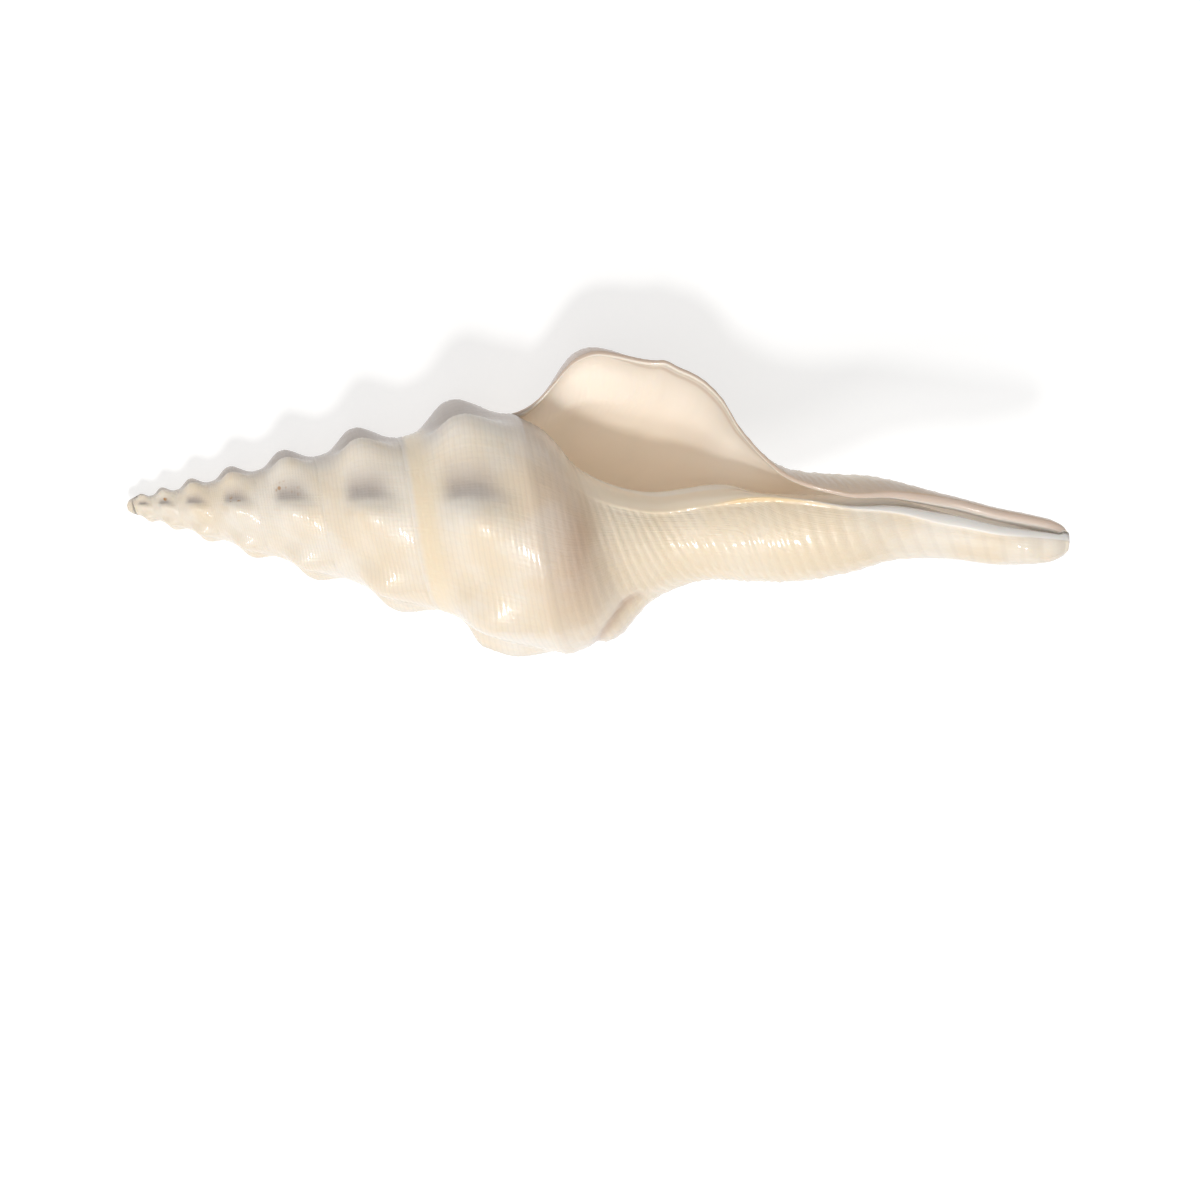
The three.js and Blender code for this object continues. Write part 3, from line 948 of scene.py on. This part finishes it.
def wound(fields, p):
    """The plain coil's points in the resting attitude, for finding where it rests."""
    turned = TAU * fields["rib_turn"]
    rib = (0.5 + 0.5 * np.cos(turned + p.rib_slant * np.cos(turned))) ** 1.2
    angle = TAU * fields["turn"] + fields["lead"]
    lean = 1 - p.rib_lean * (0.5 - 0.5 * np.cos(TAU * fields["turn"])) ** 2
    r = fields["radius"] + rib * lean * fields["rib_room"]
    pts = np.stack((fields["along"], r * np.cos(angle) + fields["bend"], r * np.sin(angle)), 1) * MM
    return pts @ np.array(REST.to_matrix()).T


class SHELL_OT_grow(bpy.types.Operator):
    """Grow the shell as one closed skin and wind it up"""
    bl_idname = "shell.grow"
    bl_label = "Grow shell"

    def execute(self, context):
        p = context.scene.shell_sizes
        f = context.scene.shell_finish
        mesh, fields = mesh_of(shell_net(p), p)
        pts = wound(fields, p)
        low, high = (np.array(c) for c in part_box("shell"))
        middle = (pts.min(0) + pts.max(0)) / 2
        rest = Vector(((low + high) / 2 - middle)[:2].tolist() + [float(low[2] - pts[:, 2].min())])
        holder = bpy.data.objects.new("shell_growing", mesh)
        context.scene.collection.objects.link(holder)
        finish = shell_material(f)
        modifier = holder.modifiers.new("Wind", "NODES")
        modifier.node_group = coil_tree(finish)
        set_inputs(modifier, {
            "Ribs": float(p.ribs), "Rib Phase": p.rib_phase, "Rib Sharpness": 1.2,
            "Rib Slant": p.rib_slant, "Rib Crowding": p.rib_crowd, "Rib Lean": p.rib_lean,
            "Scoop": p.scoop, "Cord Height": p.cord_height, "Pebbling": p.pebble,
            "Unevenness": 0.2, "Seed": float(p.seed), "Millimetre": MM,
            "Attitude": tuple(REST), "Resting Place": tuple(rest), "Finish": finish,
        })
        context.view_layer.update()
        depsgraph = context.evaluated_depsgraph_get()
        grown = bpy.data.meshes.new_from_object(
            holder.evaluated_get(depsgraph), preserve_all_data_layers=True, depsgraph=depsgraph
        )
        if len(grown.polygons) < 1000:
            raise RuntimeError("the shell did not grow")
        shell = bpy.data.objects.new("conch_shell", grown)
        context.scene.collection.objects.link(shell)
        bpy.data.objects.remove(holder)
        if not grown.materials:
            grown.materials.append(finish)
        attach(shell, "root")
        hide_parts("shell")
        return {"FINISHED"}


class SHELL_OT_stage(bpy.types.Operator):
    """Set the pale table, the soft light and the camera"""
    bl_idname = "shell.stage"
    bl_label = "Set stage"

    def execute(self, context):
        s = context.scene.shell_stage
        low, high = (np.array(c) for c in CAD_BOX)
        size = 3.0
        mesh = bpy.data.meshes.new("table_top")
        z = float(low[2]) - 0.0002
        mesh.from_pydata(
            [(-size, -size, z), (size, -size, z), (size, size, z), (-size, size, z)], [], [(0, 1, 2, 3)]
        )
        table = bpy.data.objects.new("table_top", mesh)
        mesh.materials.append(table_material(s.floor))
        context.scene.collection.objects.link(table)

        turn = REST.to_matrix()
        tilt = math.radians(2.33)
        axis, up, out = (turn @ Vector(v) for v in ((1, 0, 0), (0, 1, 0), (0, 0, 1)))
        right = axis * math.cos(tilt) + up * math.sin(tilt)
        image_up = up * math.cos(tilt) - axis * math.sin(tilt)
        apex = self.apex_place()
        middle = apex + axis * 0.0685 - up * 0.0103
        distance = s.view_width * s.lens / 36.0
        camera_data = bpy.data.cameras.new("camera")
        camera_data.lens = s.lens
        camera_data.sensor_width = 36.0
        camera_data.clip_start = 0.01
        camera = bpy.data.objects.new("camera", camera_data)
        facing = Matrix((right, image_up, out)).transposed().to_4x4()
        camera.matrix_world = Matrix.Translation(middle + out * distance) @ facing
        context.scene.collection.objects.link(camera)
        context.scene.camera = camera

        self.area(
            context, "key_light", middle, (-image_up * 0.66 + out * 0.75 + right * 0.05), 0.9, 0.22,
            s.key_power, (1.0, 0.975, 0.945)
        )
        self.area(
            context, "glint_light", middle, (-image_up * 0.5 + out * 0.86 + right * 0.02), 0.9, 0.12,
            s.glint_power, (1.0, 0.99, 0.97)
        )
        self.area(
            context, "front_light", middle, (-image_up * 0.12 + out - right * 0.1), 1.2, 0.8,
            s.soft_power, (1.0, 0.985, 0.97)
        )
        world = context.scene.world or bpy.data.worlds.new("room")
        context.scene.world = world
        world.use_nodes = True
        background = world.node_tree.nodes["Background"]
        background.inputs["Color"].default_value = (1.0, 1.0, 1.0, 1.0)
        background.inputs["Strength"].default_value = s.fill
        context.scene.view_settings.view_transform = "Standard"
        return {"FINISHED"}

    def apex_place(self):
        """The apex in the frame: the shell's end towards -X, on the axis."""
        shell = bpy.data.objects["conch_shell"]
        points = np.empty(len(shell.data.vertices) * 3)
        shell.data.vertices.foreach_get("co", points)
        points = points.reshape(-1, 3)
        along = np.empty(len(points))
        shell.data.attributes["along"].data.foreach_get("value", along)
        return Vector(points[np.argmin(along)].tolist()) - REST.to_matrix() @ Vector((0, 0.45 * MM, 0))

    def area(self, context, name, target, direction, distance, size, power, colour):
        data = bpy.data.lights.new(name, "AREA")
        data.shape = "DISK"
        data.size = size
        data.energy = power
        data.color = colour
        light = bpy.data.objects.new(name, data)
        direction = Vector(direction).normalized()
        light.location = target + direction * distance
        light.rotation_euler = direction.to_track_quat("Z", "Y").to_euler()
        context.scene.collection.objects.link(light)
        light.visible_glossy = size < 0.2  # a broad light would mirror in the gloss


class SHELL_PT_panel(bpy.types.Panel):
    """The shell's pieces and its stage"""
    bl_idname = "SHELL_PT_panel"
    bl_label = "Spindle shell"
    bl_space_type = "VIEW_3D"
    bl_region_type = "UI"
    bl_category = "Shell"

    def draw(self, context):
        for group in ("shell_sizes", "shell_finish", "shell_stage"):
            settings = getattr(context.scene, group)
            box = self.layout.box()
            for name in settings.__annotations__:
                box.prop(settings, name)
        self.layout.operator("shell.grow")
        self.layout.operator("shell.stage")


CLASSES = (ShellSizes, ShellFinish, StageSettings, SHELL_OT_grow, SHELL_OT_stage, SHELL_PT_panel)


def register():
    for c in CLASSES:
        bpy.utils.register_class(c)
    bpy.types.Scene.shell_sizes = bpy.props.PointerProperty(type=ShellSizes)
    bpy.types.Scene.shell_finish = bpy.props.PointerProperty(type=ShellFinish)
    bpy.types.Scene.shell_stage = bpy.props.PointerProperty(type=StageSettings)


def unregister():
    del bpy.types.Scene.shell_stage
    del bpy.types.Scene.shell_finish
    del bpy.types.Scene.shell_sizes
    for c in reversed(CLASSES):
        bpy.utils.unregister_class(c)


def main():
    register()
    bpy.ops.shell.grow()
    bpy.ops.shell.stage()


if __name__ == "__main__":
    main()
